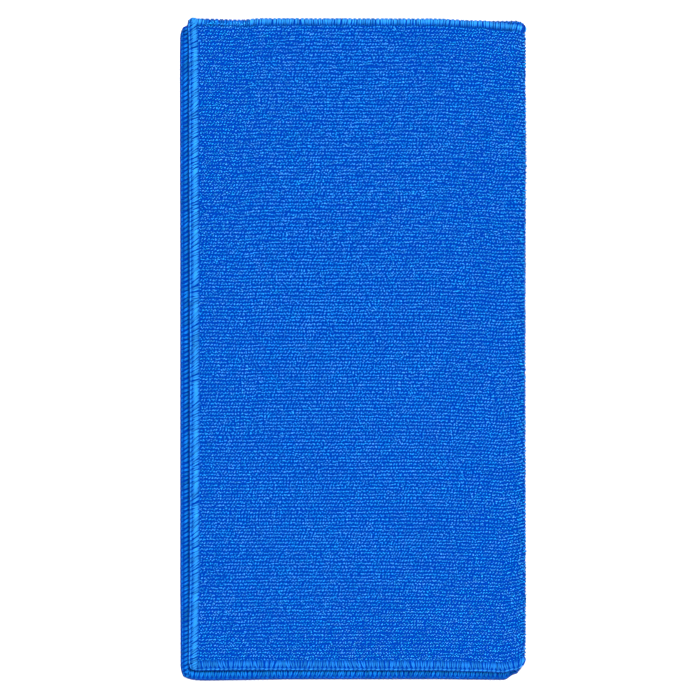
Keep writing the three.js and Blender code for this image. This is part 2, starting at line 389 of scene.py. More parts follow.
def sheet_shell(across, up, half_thickness):
    """A closed sheet: its outer and inner faces on one grid, joined round the rim by a strip
    whose middle row lies halfway between them. Returns points and quads."""
    s, t = np.meshgrid(across, up, indexing="ij")
    half = half_thickness(s, t)
    outer, inner = (fold(s, t, out).reshape(-1, 3) for out in (half, -half))
    index = np.arange(s.size).reshape(s.shape)
    rim = np.concatenate((index[:, 0], index[-1, 1:], index[-2::-1, -1], index[0, -2:0:-1]))
    points = np.concatenate((outer, inner, (outer[rim] + inner[rim]) / 2))
    a, b = index[:-1, :-1].ravel(), index[1:, :-1].ravel()
    c, d = index[1:, 1:].ravel(), index[:-1, 1:].ravel()
    shift = s.size
    ring = 2 * shift + np.arange(len(rim))
    following = np.roll(np.arange(len(rim)), -1)
    top_strip = np.stack((rim, ring, ring[following], rim[following]), 1)
    low_strip = np.stack((ring, rim + shift, rim[following] + shift, ring[following]), 1)
    faces = (np.stack((a, b, c, d), 1), np.stack((d, c, b, a), 1) + shift, top_strip, low_strip)
    return points, np.concatenate(faces)


# ---------------------------------------------------------------- loops of the pile

def wander(across, up, length, seed, waves=14):
    """A smooth random shift, mostly from -1 to 1: the sum of some sine waves, each 0.7 to 1.8
    times `length` mm long, with random headings and phases, over the root of their number."""
    rng = np.random.default_rng(seed)
    total = np.zeros(np.broadcast(across, up).shape)
    for _ in range(waves):
        heading = rng.uniform(0, 2 * np.pi)
        rate = 2 * np.pi / (length * rng.uniform(0.7, 1.8))
        phase = rng.uniform(0, 2 * np.pi)
        total += np.sin((across * np.cos(heading) + up * np.sin(heading)) * rate + phase)
    return total / math.sqrt(waves)


def near_fold(across):
    """1 on the middle of the fold, falling to 0 within a few millimetres, as exp(-distance^2)."""
    return np.exp(-((across - FOLD_MIDDLE) / FOLD_CROWDING_REACH) ** 2)


def half_ground(across, up):
    """Half the thickness of the ground: the hem's profile, and fuller round the fold, by a share
    that grows from nothing at the edge to all of it where the hem ends."""
    inside = np.minimum(from_edge(across, up), HEM_REACH)
    fill = FOLD_FILL * near_fold(across) * inside / HEM_REACH
    return hem_profile("ground", across, up) + fill


def caught(across):
    """1 along the stretch of the back edge where loops are caught over the seam, 0 elsewhere."""
    return ((across > CAUGHT_FROM) & (across < CAUGHT_TO)).astype(float)


def bare_hem(across, up):
    """Width of the hem that no loop covers: the seam's own, but less where loops are caught."""
    over_seam = caught(across) * (up > CLOTH_HEIGHT / 2)
    return BARE_HEM - over_seam * (BARE_HEM - CAUGHT_EDGE)


def crowded_places(start, stop, pitch, steps_per_mm=20):
    """Places a pitch apart from `start` to `stop`, drawn closer round the fold: the loops passed
    by a place are the integral of 1 + FOLD_CROWDING * exp(-((across - fold) / reach) ** 2)."""
    fine = np.linspace(start, stop, int((stop - start) * steps_per_mm))
    passed = np.cumsum(1 + FOLD_CROWDING * near_fold(fine)) * (fine[1] - fine[0])
    return np.interp(np.arange(0, passed[-1], pitch), passed, fine)


def loop_places(start, stop, pile, rng, seed):
    """Where the loops of `start` to `stop` across stand, and which line of their row they are in:
    rows a row pitch apart, each of two lines a line gap apart, with loops a loop pitch apart in
    each line and staggered between the two. Slow waves lead them astray and bunch up the rows,
    short ones crowd and part them, and each has a small jitter of its own."""
    rows = np.arange(FIRST_ROW, CLOTH_HEIGHT - CAUGHT_EDGE, mm(pile.row_pitch))
    pitch = mm(pile.loop_pitch)
    places = crowded_places(start, stop, pitch)
    first = rng.uniform(0, pitch, len(rows))
    line, row, place = (v.ravel() for v in np.meshgrid((-1, 1), rows, places, indexing="ij"))
    first = np.tile(np.repeat(first, len(places)), 2)
    up = row + line * mm(pile.line_gap) / 2
    across = place + first + line * pitch * STAGGER / 2
    stray = mm(pile.stray)
    across_shift = wander(across, up, STRAY_LENGTHS[0], seed) * stray
    up_shift = wander(across, up, STRAY_LENGTHS[1], seed + 1) * stray
    drift = wander(across * DRIFT_STRETCH, up, DRIFT_LENGTH, seed + 2)
    up_shift = up_shift + drift * mm(pile.drift)
    crinkle = read_table(CRINKLES, "shift", up / CLOTH_HEIGHT)
    across_crinkle, up_crinkle = (
        wander(across * CRINKLE_STRETCH, up, CRINKLE_LENGTH, seed + more) for more in (3, 4))
    across_shift = across_shift + across_crinkle * crinkle
    up_shift = up_shift + up_crinkle * crinkle
    unruly = rng.uniform(size=across.size) < pile.unruly
    jitter = mm(pile.jitter) * np.where(unruly, UNRULY_JITTER, 1.0)
    across = across + across_shift + rng.normal(0, 1, across.size) * jitter
    up = up + up_shift + rng.normal(0, ROW_HOLD, up.size) * jitter
    keep = from_edge(across, up) > bare_hem(across, up)
    return across[keep], up[keep], line[keep]


def pressed(across, up, out):
    """Outward distances, with those under the lower layer pressed softly flat on the table:
    limit - softness * log(1 + exp((limit - out) / softness))."""
    limit = hem_profile("thickness", across, up) / 2 - TABLE_GAP
    flat = limit - PRESS_SOFTNESS * np.logaddexp(0, (limit - out) / PRESS_SOFTNESS)
    return np.where(across > FOLD_MIDDLE, flat, out)


def ring_faces(count, rings, sides):
    """Quads and end caps of `count` closed tubes, each of `rings` rings of `sides` points and
    then its two end points."""
    size = rings * sides + 2
    first = np.arange(count)[:, None, None] * size
    ring = np.arange(rings - 1)[None, :, None] * sides
    side = np.arange(sides)[None, None, :]
    following = (side + 1) % sides
    quads = np.stack((first + ring + side, first + ring + following,
                      first + ring + sides + following, first + ring + sides + side), -1)
    first, side, following = first[:, 0], side[0], following[0]
    last = first + (rings - 1) * sides
    start_point, end_point = first + rings * sides, first + rings * sides + 1
    near = np.broadcast_arrays(start_point, first + following, first + side)
    far = np.broadcast_arrays(end_point, last + side, last + following)
    caps = np.concatenate([np.stack(cap, -1).reshape(-1, 3) for cap in (near, far)])
    return quads.reshape(-1, 4), caps


def loop_mesh(name, places, pile, rng, rings):
    """Loops of the pile as one mesh. Each is a bean that lies along its row: rings of LOOP_SIDES
    points about a half wave that rises out of the ground, whose girth follows a low power of the
    sine of the distance along it, and which closes in the ground at both ends."""
    across, up, line = places
    count = across.size

    def vary(key):
        """A share of its own for each loop, drawn about 1 and kept from least to most."""
        spread, least, most = LOOP_SPREAD[key]
        return rng.normal(1, spread, count).clip(least, most)

    def with_ends(values, ends):
        """Each loop's values on its rings, followed by those of its two end points."""
        return np.concatenate((values.reshape(count, -1), ends), 1)

    length = mm(pile.loop_length) * vary("length")
    girth = mm(pile.yarn_radius) * vary("girth")
    height = mm(pile.loop_height) * vary("height") * (1 + FOLD_STAND * near_fold(across))
    heading = line * pile.zigzag + rng.normal(0, pile.twist, count)
    lean = rng.normal(0, LOOP_LEAN, count)

    along = (np.arange(rings) + RING_INSET) / (rings - 1 + 2 * RING_INSET)
    arch = np.sin(np.pi * along)
    turn = np.pi / 2 + np.arange(LOOP_SIDES) * 2 * np.pi / LOOP_SIDES
    radius = girth[:, None, None] * (arch ** LOOP_BLUNTNESS)[None, :, None]
    slope = height[:, None] * np.pi * np.cos(np.pi * along)
    tilt = np.arctan2(slope, length[:, None])[:, :, None]
    outward = radius * np.sin(turn) * YARN_FLATTENING
    sideward = radius * np.cos(turn)
    arch_height = height[:, None] * arch
    on_axis = np.zeros((count, 2))
    a = ((along - 0.5) * length[:, None])[:, :, None] - outward * np.sin(tilt)
    a = with_ends(a, np.stack((-0.5 * length, 0.5 * length), 1))
    b = with_ends(sideward + (lean[:, None] * arch_height)[:, :, None], on_axis)
    rise = arch_height[:, :, None] + outward * np.cos(tilt)
    rise = with_ends(rise, np.full((count, 2), LOOP_END))

    cos, sin = np.cos(heading)[:, None], np.sin(heading)[:, None]
    over_seam = np.clip(BARE_HEM - from_edge(across, up), 0, 1)
    ground = half_ground(across, up) + CAUGHT_LIFT * over_seam
    across_points = across[:, None] + a * cos + b * sin
    up_points = up[:, None] - a * sin + b * cos
    out_points = pressed(across_points, up_points, ground[:, None] + rise)
    points = fold(across_points, up_points, out_points)
    quads, caps = ring_faces(count, rings, LOOP_SIDES)

    # The tip share paints light and shade: painted highlight on the crowns, and painted shade at
    # the roots, on the flanks beside the next row and round the fold
    full_rise = mm(pile.loop_height) * arch.max() + mm(pile.yarn_radius) * YARN_FLATTENING
    off_row = b * cos + line[:, None] * mm(pile.line_gap) / 2
    channel_shade = CHANNEL_SHADE * (2 * off_row / mm(pile.row_pitch)) ** 2
    tip = np.clip(rise / full_rise - channel_shade, 0, 1)
    tip = tip * (1 - FOLD_DIMMING * near_fold(across))[:, None]
    shade = np.repeat(rng.uniform(0, 1, count), rings * LOOP_SIDES + 2)
    ply = with_ends(sideward, on_axis) + YARN_TWIST * a
    return add_mesh(name, points, quads, caps, {"tip": tip, "shade": shade, "ply": ply})


# ---------------------------------------------------------------- thread of the hem

def seam_terms(edge, face):
    """The seam's own values on one edge, outside or inside."""
    return {key: (outer if face == OUTSIDE else inner)[edge]
            for key, (outer, inner) in SEAMS.items()}


def thread_tubes(q, d, o, width, height, flat_way, sides):
    """Threads along paths in a hem's own terms: `q` along the edge, `d` in from it, `o` out of
    the cloth, each (threads, steps). The section is an oval, `width` by `height` in half-sizes,
    set square to the path with its width towards `flat_way`. Returns points in the same terms,
    the faces, with the two ends drawn to a point, and where each point lies on the twisted yarn:
    its distance across the thread plus a share of its distance along it."""
    path = np.stack((q, d, o), -1)
    tangent = np.gradient(path, axis=1)
    tangent /= np.linalg.norm(tangent, axis=-1, keepdims=True)
    high = np.cross(tangent, np.asarray(flat_way, float))
    high /= np.linalg.norm(high, axis=-1, keepdims=True)
    wide = np.cross(high, tangent)
    turn = np.arange(sides) * 2 * np.pi / sides
    count, steps = q.shape
    across_part = wide[:, :, None] * (width[:, :, None] * np.cos(turn))[..., None]
    out_part = high[:, :, None] * (height[:, :, None] * np.sin(turn))[..., None]
    rings = (path[:, :, None] + across_part + out_part).reshape(count, -1, 3)
    tips = np.stack((path[:, 0] - tangent[:, 0] * POINT_LENGTH,
                     path[:, -1] + tangent[:, -1] * POINT_LENGTH), 1)
    points = np.concatenate((rings, tips), 1)
    quads, caps = ring_faces(count, steps, sides)
    stretch = np.linalg.norm(np.diff(path, axis=1, prepend=path[:, :1]), axis=-1).cumsum(axis=1)
    ply = width[:, :, None] * np.cos(turn) + YARN_TWIST * stretch[:, :, None]
    end_ply = YARN_TWIST * stretch[:, [0, -1]]
    return points, quads, caps, np.concatenate((ply.reshape(count, -1), end_ply), 1)


def hem_places(edge, face, points):
    """Points in a hem's own terms as places on the flat cloth, on its outside or inside."""
    q, d, o = points[..., 0], points[..., 1], points[..., 2]
    across, up = ((d, q), (q, CLOTH_HEIGHT - d), (FLAT_WIDTH - d, q), (q, d))[edge]
    return across, up, o * face


def hem_stitches(edge, thread, start=0.0, stop=None):
    """Where a seam begins along its edge, its stitch pitch and its number of stitches. The side
    seams run the whole edge, and the front and back seams start inside them."""
    whole = CLOTH_HEIGHT if edge in SIDE_EDGES else FLAT_WIDTH
    inset = SIDE_SEAM_INSET if edge in SIDE_EDGES else END_SEAM_INSET
    start = max(start, inset)
    stop = min(whole if stop is None else stop, whole - inset)
    count = int((stop - start) / mm(thread.stitch_pitch))
    return start, (stop - start) / count, count


def hem_ground(edge, q, d):
    """Half thickness of the ground under places in a hem's own terms."""
    across, up, _ = hem_places(edge, OUTSIDE, np.stack(np.broadcast_arrays(q, d, 0.0), -1))
    return half_ground(across, up)


def end_lift(edge, q):
    """Extra height of the side seams at their ends, where they are sewn over the other seams."""
    if edge not in SIDE_EDGES:
        return 0.0
    from_end = np.minimum(q, CLOTH_HEIGHT - q)
    return CROSSING_LIFT * np.clip((CROSSING_START - from_end) / CROSSING_RAMP, 0, 1)


def hem_strands(edge, face, thread, rng, shares, sides, start=0.0, stop=None):
    """The threads that cross one hem, two to a stitch, at each of `shares` of their course. Along
    q each leans from its hole to its knot by the seam's lean, keeps its spread from the middle of
    the stitch, is tipped over by slow waves that fade out at the knot, and stays within the
    seam's run. Along d it goes in from the edge, and along o it follows the ground and rises over
    the bead. Its crest, a painted highlight, is the seam's light times
    exp(-((d - crest) / half-width)^2), less a rim of painted shade, deeper on some threads than
    on others, that fades in the same way."""
    along, pitch, count = hem_stitches(edge, thread, start, stop)
    seam = seam_terms(edge, face)
    shares = np.asarray(shares)[None, :]
    threads = (2 * count, 1)

    def course(column):
        """A column of the threads' course at each of the shares."""
        return read_table(STRAND_COURSE, column, shares)

    middle = along + (np.tile(np.arange(count), 2) + 0.5 - seam["lean"] / 2) * pitch
    sway = wander(middle, np.zeros(2 * count), THREAD_SWAY_LENGTH, SWAY_WAVES + edge)
    sway = sway * THREAD_SWAY + rng.normal(0, STRAND_STRAY["tip"], 2 * count)
    middle = middle + rng.normal(0, STRAND_STRAY["place"], 2 * count) * pitch
    side = np.repeat((-1, 1), count)[:, None]
    to_knot = np.minimum(shares, 1)
    lean = seam["lean"] * to_knot + sway[:, None] * (1 - to_knot)
    q = middle[:, None] + (side * (course("spread") * seam["spread"]) + lean) * pitch
    q = np.clip(q, along, along + count * pitch)
    hole_stray = rng.normal(0, STRAND_STRAY["hole"], threads)
    d = course("from_edge") + hole_stray * np.maximum(0, 1 - shares)
    rise = course("rise") * rng.normal(1, STRAND_STRAY["rise"], threads)
    girth = course("girth") * rng.normal(1, STRAND_STRAY["girth"], threads)
    width = mm(thread.thread_width) / 2 * girth
    height = np.broadcast_to(mm(thread.thread_height) / 2, q.shape)
    o = hem_ground(edge, q, d) + rise + end_lift(edge, q) + seam["lift"]
    crest = seam["light"] * np.exp(-((d - seam["crest_at"]) / seam["half_width"]) ** 2)
    # Painted shade on the back seam's thread where loops lie over it
    if edge == BACK and face == OUTSIDE:
        crest = crest * (1 - CAUGHT_SHADE * caught(q))
    # A rim of painted shade, deeper on some threads than on others
    rim_shading = seam["rim_shade"] * rng.uniform(*RIM_SHADE_SPREAD, threads)
    crest = crest - rim_shading * np.exp(-(d / seam["dark_rim"]) ** 2)
    tubes = thread_tubes(q, d, o, width, height, (1, 0, 0), sides)
    return place_thread(edge, face, tubes, crest, rng)


def hem_purl(edge, face, thread, rng):
    """The chain of knots along the rim: short fat threads that each run a stitch along the edge
    in a low arch and slant inwards, so that one tucks under the next."""
    along, pitch, count = hem_stitches(edge, thread)
    seam = seam_terms(edge, face)
    share = np.linspace(0, 1, LINK_STEPS)[None, :]
    links = (count, 1)
    first = along + (np.arange(count) + seam["lean"] / 2) * pitch
    first = np.clip(first, along, along + (count - 1) * pitch)
    q = first[:, None] + (share * (1 + 2 * LINK_OVERLAP) - LINK_OVERLAP) * pitch
    d = seam["purl_at"] + PURL_SLANT * (share - 0.5) + rng.normal(0, LINK_STRAY["place"], links)
    arch = np.sin(np.pi * (LINK_ENDS + (1 - 2 * LINK_ENDS) * share))
    rise = PURL_RISE * arch * rng.normal(1, LINK_STRAY["rise"], links)
    o = PURL_BASE + rise + end_lift(edge, q)
    girth = (LINK_TAPER + (1 - LINK_TAPER) * arch) * rng.normal(1, LINK_STRAY["girth"], links)
    half = mm(thread.purl_thickness) / 2 * girth
    # Painted highlight on the middle of each link, and painted shade at its ends, in the gaps
    # between links
    light = arch ** 3
    crest = np.broadcast_to(seam["purl_light"] * light - LINK_GAP_SHADE * (1 - light), q.shape)
    tubes = thread_tubes(q, d, o, half, half, (0, 1, 0), LINK_SIDES)
    return place_thread(edge, face, tubes, crest, rng)


def hem_needle_line(edge, face, thread, rng):
    """The needle's own thread: a short low dash, half a sine wave high, from each hole to the
    next."""
    along, pitch, count = hem_stitches(edge, thread)
    share = np.linspace(0, 1, DASH_STEPS)[None, :]
    q = along + (np.arange(count)[:, None] - seam_terms(edge, face)["lean"] / 2 + share) * pitch
    d = np.broadcast_to(NEEDLE_LINE + DASH_INSET, q.shape) + rng.normal(0, DASH_STRAY, (count, 1))
    arch = DASH_RISE * np.sin(np.pi * share) - DASH_SINK
    o = hem_ground(edge, q, d) + end_lift(edge, q) + arch
    half = np.broadcast_to(mm(thread.needle_thickness) / 2, q.shape)
    tubes = thread_tubes(q, d, o, half, half, (0, 1, 0), DASH_SIDES)
    return place_thread(edge, face, tubes, np.zeros(q.shape), rng)


def place_thread(edge, face, tubes, crest, rng):
    """Threads given in a hem's own terms as folded points, with faces turned outwards and, for
    each point, its attributes: a tone of the thread's own, its painted light from `crest` for each
    step, where 0 is the deep colour, more is painted highlight and less is painted shade, and its
    place on the yarn."""
    points, quads, caps, ply = tubes
    across, up, out = hem_places(edge, face, points)
    placed = fold(across, up, pressed(across, up, out))
    count, size = points.shape[:2]
    if MIRRORED[edge] * face < 0:
        quads, caps = quads[:, ::-1], caps[:, ::-1]
    shade = np.repeat(rng.uniform(0, 1, count), size)
    sides = (size - 2) // crest.shape[1]
    crest = np.concatenate((np.repeat(crest, sides, axis=1), crest[:, [0, -1]]), 1)
    attributes = {"shade": shade, "crest": crest.ravel(), "ply": ply.ravel()}
    return placed.reshape(-1, 3), quads, caps, attributes


def joined(name, parts):
    """One mesh of several (points, quads, triangles, attributes) parts."""
    points, quads, triangles, attributes = zip(*parts)
    shifts = np.cumsum([0] + [len(part) for part in points[:-1]])
    quads, triangles = (np.concatenate([part + shift for part, shift in zip(faces, shifts)])
                        for faces in (quads, triangles))
    values = {key: np.concatenate([part[key] for part in attributes]) for key in attributes[0]}
    return add_mesh(name, np.concatenate(points), quads, triangles, values)


# ---------------------------------------------------------------- materials

class Nodes:
    """Short calls for a material's nodes."""

    def __init__(self, name):
        self.material = bpy.data.materials.new(name)
        self.material.use_nodes = True
        self.tree = self.material.node_tree
        self.tree.nodes.clear()
        self.output = self.tree.nodes.new("ShaderNodeOutputMaterial")

    def fill(self, socket, value):
        """Gives an input a link from another node, a colour or a number."""
        if isinstance(value, bpy.types.NodeSocket):
            self.tree.links.new(value, socket)
        else:
            socket.default_value = (*value, 1.0) if socket.type == "RGBA" else value

    def add(self, kind, values=None, **settings):
        """A node with its settings; `values` fills its inputs."""
        node = self.tree.nodes.new(kind)
        for key, value in settings.items():
            setattr(node, key, value)
        for key, value in (values or {}).items():
            self.fill(node.inputs[key], value)
        return node

    def attribute(self, name):
        """One of the mesh's own attributes."""
        return self.add("ShaderNodeAttribute", attribute_name=name).outputs["Fac"]

    def maths(self, operation, *values):
        """One sum of two values, or of one."""
        inputs = dict(enumerate(values))
        return self.add("ShaderNodeMath", inputs, operation=operation).outputs[0]

    def between(self, share, low, high, power=1.0, first=0.0, last=1.0):
        """`low` to `high` as `share`, eased by a power, goes from `first` to `last`."""
        if power != 1.0:
            share = self.maths("POWER", share, power)
        values = {"Value": share, "From Min": first, "From Max": last,
                  "To Min": low, "To Max": high}
        return self.add("ShaderNodeMapRange", values).outputs["Result"]

    def times(self, first, *factors):
        """A product."""
        for factor in factors:
            first = self.maths("MULTIPLY", first, factor)
        return first

    def place(self):
        """The place on the piece, in metres."""
        return self.add("ShaderNodeTexCoord").outputs["Object"]

    def noise(self, cycles, detail, roughness=0.5):
        """Noise over the piece, `cycles` to a metre."""
        values = {"Vector": self.place(), "Scale": cycles, "Detail": detail,
                  "Roughness": roughness}
        return self.add("ShaderNodeTexNoise", values).outputs["Fac"]

    def patches(self, cycles, detail, low, high, half_window=0.5):
        """Uneven patches from `low` to `high`, as their noise goes through a window round its
        middle: the narrower the window, the harder their edges."""
        return self.between(self.noise(cycles, detail), low, high,
                            first=0.5 - half_window, last=0.5 + half_window)

    def filaments(self, pitch, cycles):
        """Fine ridges along a yarn, a `pitch` in mm apart, by the place on the twisted yarn,
        broken up by noise."""
        wave = self.maths("SINE", self.times(self.attribute("ply"), 2 * math.pi / pitch))
        ridges = self.between(wave, 0.0, 1.0, first=-1.0)
        return self.times(ridges, self.noise(cycles, detail=3.0, roughness=0.6))

    def mix(self, share, low, high):
        """From one colour to another as `share` goes from 0 to 1."""
        node = self.add("ShaderNodeMix", data_type="RGBA")
        inputs = {socket.identifier: socket for socket in node.inputs}
        for key, value in (("Factor_Float", share), ("A_Color", low), ("B_Color", high)):
            self.fill(inputs[key], value)
        return next(s for s in node.outputs if s.identifier == "Result_Color")

    def scaled(self, colour, factor):
        """A colour made lighter or darker."""
        values = {0: colour, "Scale": factor}
        return self.add("ShaderNodeVectorMath", values, operation="SCALE").outputs["Vector"]

    def cloth_shader(self, colour, height, depth, roughness, gloss, sheen, tint):
        """The cloth's finish: its colour, a relief of `height` times `depth` metres, and gloss
        and sheen that take the dye's tint. Returns the material."""
        relief = {"Height": height, "Distance": depth, "Strength": 1.0}
        return self.surface({
            "Base Color": colour, "Normal": self.add("ShaderNodeBump", relief).outputs["Normal"],
            "Roughness": roughness, "Specular IOR Level": gloss, "Specular Tint": tint,
            "Sheen Weight": sheen, "Sheen Roughness": 0.5, "Sheen Tint": tint,
        })

    def surface(self, values):
        """Ends the material in one shader, and returns the material."""
        shader = self.add("ShaderNodeBsdfPrincipled", values)
        self.tree.links.new(shader.outputs["BSDF"], self.output.inputs["Surface"])
        return self.material


def loop_material(colours):
    """Soft microfibre yarn: a painted highlight on the crowns of the loops and painted shade, deep
    blue, at their roots, each loop of its own tone, with slow uneven patches and fine filaments."""
    nodes = Nodes("microfibre_loops")
    tip = nodes.attribute("tip")
    shade = nodes.attribute("shade")
    flank = nodes.mix(tip, colours.loop_root, colours.loop_flank)
    own = nodes.between(shade, 1 - colours.loop_variety, 1 + colours.loop_variety)
    tufts = nodes.patches(900.0, detail=1.0, low=0.3, high=1.7, half_window=0.18)
    # The crown share is a painted highlight: the tip raised to the crown sharpness, times the
    # loop's own tone and tufts
    crown = nodes.times(nodes.between(tip, 0.0, 1.0, colours.crown_sharpness), own, tufts)
    warmth = nodes.patches(260.0, detail=1.0, low=0.0, high=1.0, half_window=0.15)
    light = nodes.mix(warmth, colours.loop_crown, colours.loop_crown_warm)
    filaments = nodes.filaments(pitch=0.24, cycles=2600.0)
    colour = nodes.scaled(nodes.mix(crown, flank, light), nodes.times(
        nodes.between(shade, 0.9, 1.1),
        nodes.patches(34.0, detail=3.0, low=0.88, high=1.12),
        nodes.between(filaments, *STREAKS),
        nodes.patches(1300.0, detail=2.0, low=0.62, high=1.38, half_window=0.18)))
    return nodes.cloth_shader(colour, filaments, depth=0.00006, roughness=0.7,
                              gloss=colours.gloss, sheen=colours.sheen, tint=colours.tint)


def ground_material(colours):
    """The knitted ground under the loops, in fine ribs of small stitches; its deep blue is painted
    shade down in the pile.
    """
    nodes = Nodes("microfibre_ground")
    ribs = nodes.add("ShaderNodeTexWave", {"Vector": nodes.place(), "Scale": 310.0,
                                           "Distortion": 1.5, "Detail": 1.0},
                     bands_direction="Y").outputs["Fac"]
    stitches = nodes.times(ribs, nodes.noise(1500.0, detail=3.0, roughness=0.6))
    colour = nodes.mix(stitches, colours.ground_deep, colours.loop_root)
    return nodes.cloth_shader(colour, stitches, depth=0.00025, roughness=0.8,
                              gloss=colours.gloss, sheen=colours.sheen, tint=colours.tint)


def thread_material(name, light, deep, colours):
    """Textured overlock thread: a painted highlight on the crest of the bead, deeper blue
    elsewhere and painted shade darker still in its gaps and at its rim, each thread of its own
    tone, of fine twisted filaments."""
    nodes = Nodes(name)
    filaments = nodes.filaments(pitch=0.22, cycles=1900.0)
    crest = nodes.attribute("crest")
    # crest mixes from the deep colour to the light one as painted highlight, and below 0 darkens
    # it further as painted shade
    colour = nodes.scaled(nodes.mix(crest, deep, light), nodes.times(
        nodes.between(nodes.attribute("shade"), 0.72, 1.2),
        nodes.patches(60.0, detail=2.0, low=0.8, high=1.2),
        nodes.between(filaments, *STREAKS),
        nodes.between(crest, 0.3, 1.0, first=-1.0, last=0.0)))
    return nodes.cloth_shader(colour, filaments, depth=0.0001, roughness=0.4,
                              gloss=colours.thread_gloss, sheen=colours.sheen,
                              tint=colours.thread_tint)


def floor_material(stage):
    """Matt white paper with the faintest grain."""
    nodes = Nodes("paper")
    grain = nodes.patches(60.0, detail=2.0, low=0.99, high=1.0)
    colour = nodes.scaled((stage.floor_white,) * 3, grain)
    return nodes.surface({"Base Color": colour, "Roughness": 0.9, "Specular IOR Level": 0.0})


# ---------------------------------------------------------------- settings

def length_property(name, description, millimetres, least=0.0):
    """A setting shown as a length; it holds metres."""
    return FloatProperty(name=name, description=description, default=millimetres * MM,
                         min=least, precision=5, unit="LENGTH")


def share_property(name, description, default, high=1.0):
    """A setting from 0 to `high`."""
    return FloatProperty(name=name, description=description, default=default, min=0.0, max=high)


def colour_property(name, description, default):
    """A setting that holds a colour, in linear light."""
    return FloatVectorProperty(name=name, description=description, default=default,
                               size=3, min=0.0, max=1.0, subtype="COLOR")


def angle_property(name, description, radians):
    """A setting shown as an angle; it holds radians."""
    return FloatProperty(name=name, description=description, default=radians, subtype="ANGLE")


def strength_property(name, description, default):
    """A light's strength."""
    return FloatProperty(name=name, description=description, default=default, min=0.0)


def mm(length):
    """A length setting in millimetres."""
    return length / MM


class PileSettings(bpy.types.PropertyGroup):
    """Sizes of the loops, and how far they stray"""
    row_pitch: length_property("Row pitch", "Distance from one row of loops to the next", 2.05)
    loop_pitch: length_property("Loop pitch", "Distance from loop to loop along a row", 1.75)
    loop_length: length_property("Loop length", "Length of a loop along its row", 1.1)
    loop_height: length_property("Loop height", "Rise of a loop's middle line", 0.5)
    yarn_radius: length_property("Yarn radius", "Half the thickness of the loop yarn", 0.42)
    stray: length_property("Stray", "How far slow waves lead the loops from their rows", 0.08)
    drift: length_property("Drift", "How far the rows bunch up and draw apart", 0.35)
    jitter: length_property("Jitter", "How far each loop stands from its own place", 0.2)
    line_gap: length_property("Line gap", "Distance between the two lines of a row", 0.56)
    zigzag: angle_property("Zigzag", "How far a row's two lines turn each way", 0.5)
    twist: angle_property("Twist", "How far each loop turns by itself", 0.3)
    unruly: share_property("Unruly share", "Share of the loops that stand well out of place", 0.14)


class ThreadSettings(bpy.types.PropertyGroup):
    """Sizes of the hem's thread"""
    stitch_pitch: length_property("Stitch pitch", "Distance from one stitch to the next", 2.65)
    thread_width: length_property("Thread width", "Width of a thread where it spreads flat", 1.08)
    thread_height: length_property("Thread height", "Height of a thread that lies flat", 0.7)
    purl_thickness: length_property("Purl thickness", "Thickness of the chain at the rim", 0.9)
    needle_thickness: length_property("Needle thread", "Thickness of the needle's thread", 0.36)


class ColourSettings(bpy.types.PropertyGroup):
    """Colours and finish of the loops and the thread"""
    # The loops' crown, warm crown, flank and root colours are lit and shaded copies of one yarn
    # colour: painted highlight on the crowns, painted shade down in the pile
    loop_crown: colour_property("Loop crown", "Colour of the loops on top", (0.022, 0.43, 1.0))
    loop_crown_warm: colour_property("Loop crown, warm", "Colour of the crowns in some patches",
                                     (0.08, 0.405, 1.0))
    loop_flank: colour_property("Loop flank", "Colour of the loops' sides", (0.0005, 0.305, 0.90))
    loop_root: colour_property("Loop root", "Colour of the loops down in the pile",
                               (0.0001, 0.056, 0.46))
    # The ground's colour, darker than the yarn, is painted shade down in the pile
    ground_deep: colour_property("Ground", "Colour of the ground cloth", (0.0001, 0.029, 0.28))
    # The thread's light and deep colours are lit and shaded copies of one thread colour: painted
    # highlight over the bead, painted shade where it is deep
    thread: colour_property("Thread", "Colour of the thread over the bead", (0.026, 0.285, 0.83))
    thread_deep: colour_property("Thread, tight", "Colour of the thread where it is tight",
                                 (0.0015, 0.10, 0.50))
    # The inner face's thread colours are darker copies of the outer ones: painted shade under the
    # upper layer
    inner_thread: colour_property("Inner thread", "Colour of the inner face's thread",
                                  (0.006, 0.19, 0.66))
    inner_thread_deep: colour_property("Inner thread, tight", "Colour where it is tight",
                                       (0.0001, 0.05, 0.36))
    tint: colour_property("Gloss tint", "Tint that the dye gives to gloss and sheen",
                          (0.02, 0.42, 1.0))
    thread_tint: colour_property("Thread gloss tint", "Tint of the thread's gloss and sheen",
                                 (0.05, 0.6, 1.0))
    loop_variety: share_property("Loop variety", "How much the loops differ in shade", 0.55)
    crown_sharpness: share_property("Crown sharpness", "How late a loop turns light", 2.1, 9.0)
    gloss: share_property("Gloss", "Gloss of the microfibre", 0.08)
    thread_gloss: share_property("Thread gloss", "Gloss of the overlock thread", 0.1)
    sheen: share_property("Sheen", "Soft sheen of the fibres", 0.05)


class StageSettings(bpy.types.PropertyGroup):
    """Camera, lights and floor"""
    camera_height: length_property("Camera height", "Height of the camera over the cloth", 5000)
    framed_width: length_property("Framed width", "Width that the camera takes in", 420)
    aim_x: length_property("Aim X", "Middle of the view, left to right", -1.65, -1.0)
    aim_y: length_property("Aim Y", "Middle of the view, front to back", -0.166, -1.0)
    key_strength: strength_property("Key light", "Strength of the light from behind", 3.2)
    key_elevation: angle_property("Key elevation", "Height of the light from behind",
                                  math.radians(58))
    fill_strength: strength_property("Fill light", "Strength of the light from the front", 1.3)
    fill_elevation: angle_property("Fill elevation", "Height of the light from the front",
                                   math.radians(50))
    lean: angle_property("Lean", "How far both lights stand to the right of the middle",
                         math.radians(10))
    softness: angle_property("Softness", "Angle that each light fills", math.radians(35))
    surround: strength_property("Surround", "Strength of the white surroundings", 0.75)
    floor_white: share_property("Floor", "How much light the floor gives back", 0.92)


# ---------------------------------------------------------------- operators

def finish_piece(piece, material):
    """Gives a piece its material, and lets it ride on the cloth's body."""
    piece.data.materials.append(material)
    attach(piece, "root")


